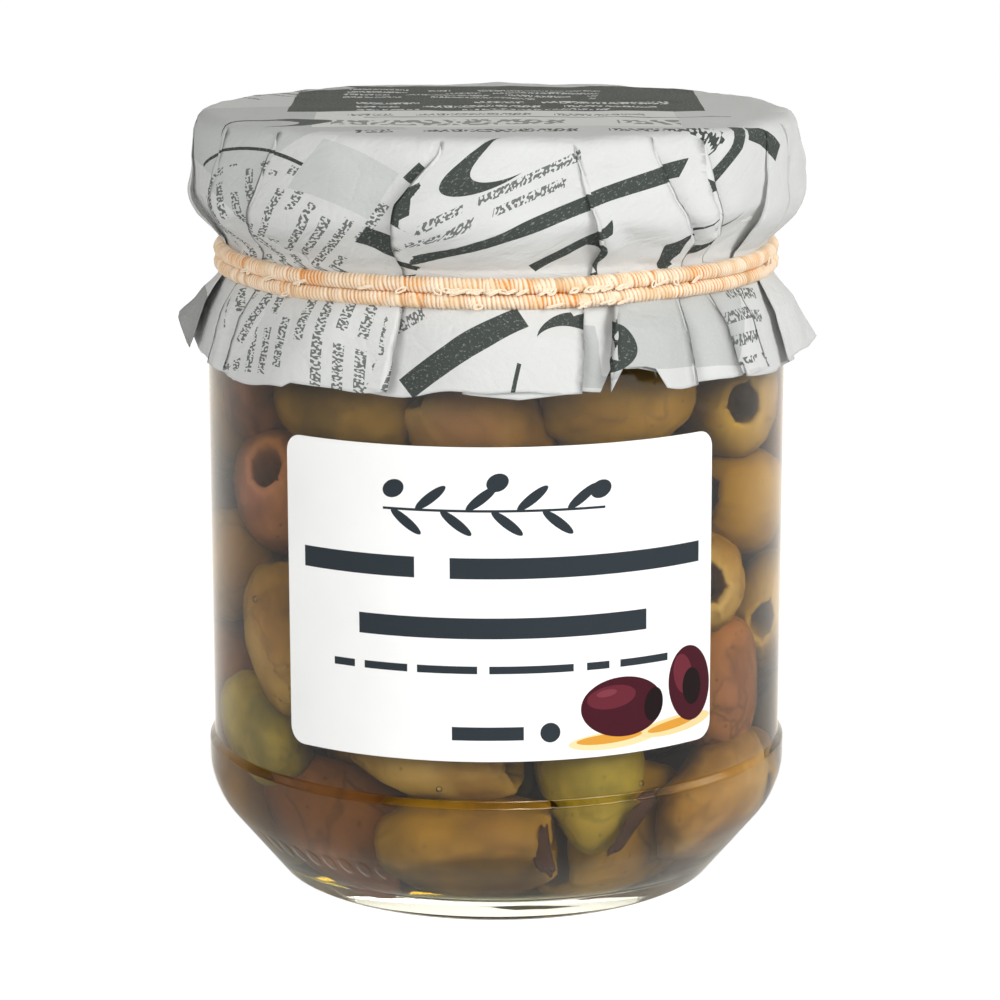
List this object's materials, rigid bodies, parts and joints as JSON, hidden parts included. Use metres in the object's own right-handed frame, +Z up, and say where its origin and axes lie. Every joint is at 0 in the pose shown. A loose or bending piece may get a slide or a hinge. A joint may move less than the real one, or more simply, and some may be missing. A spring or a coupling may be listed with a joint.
{
  "type": "jar of olives",
  "caption": "Round glass jar of pitted olives in oil, shut with a lid under a gathered printed paper cover held by an elastic, with a blank-fronted paper label.",
  "frame": {"origin": "centre of the jar's foot, on the surface it stands on", "axes": "+Z up along the jar's axis; the middle of the label faces -Y"},
  "size_m": [0.0706, 0.0699, 0.0883],
  "materials": {
    "glass": "clear moulded jar glass",
    "olives_in_oil": "glossy brown and green olives in golden oil",
    "lid": "white lacquered tinplate",
    "paper_cover": "uncoated paper with grey print, creased",
    "elastic": "cream thread wound over rubber",
    "label": "matt white paper"
  },
  "bodies": {
    "root": {"jar": "glass", "olives_in_oil": "olives_in_oil", "lid": "lid", "paper_cover": "paper_cover", "elastic": "elastic", "label": "label"}
  },
  "joints": []
}
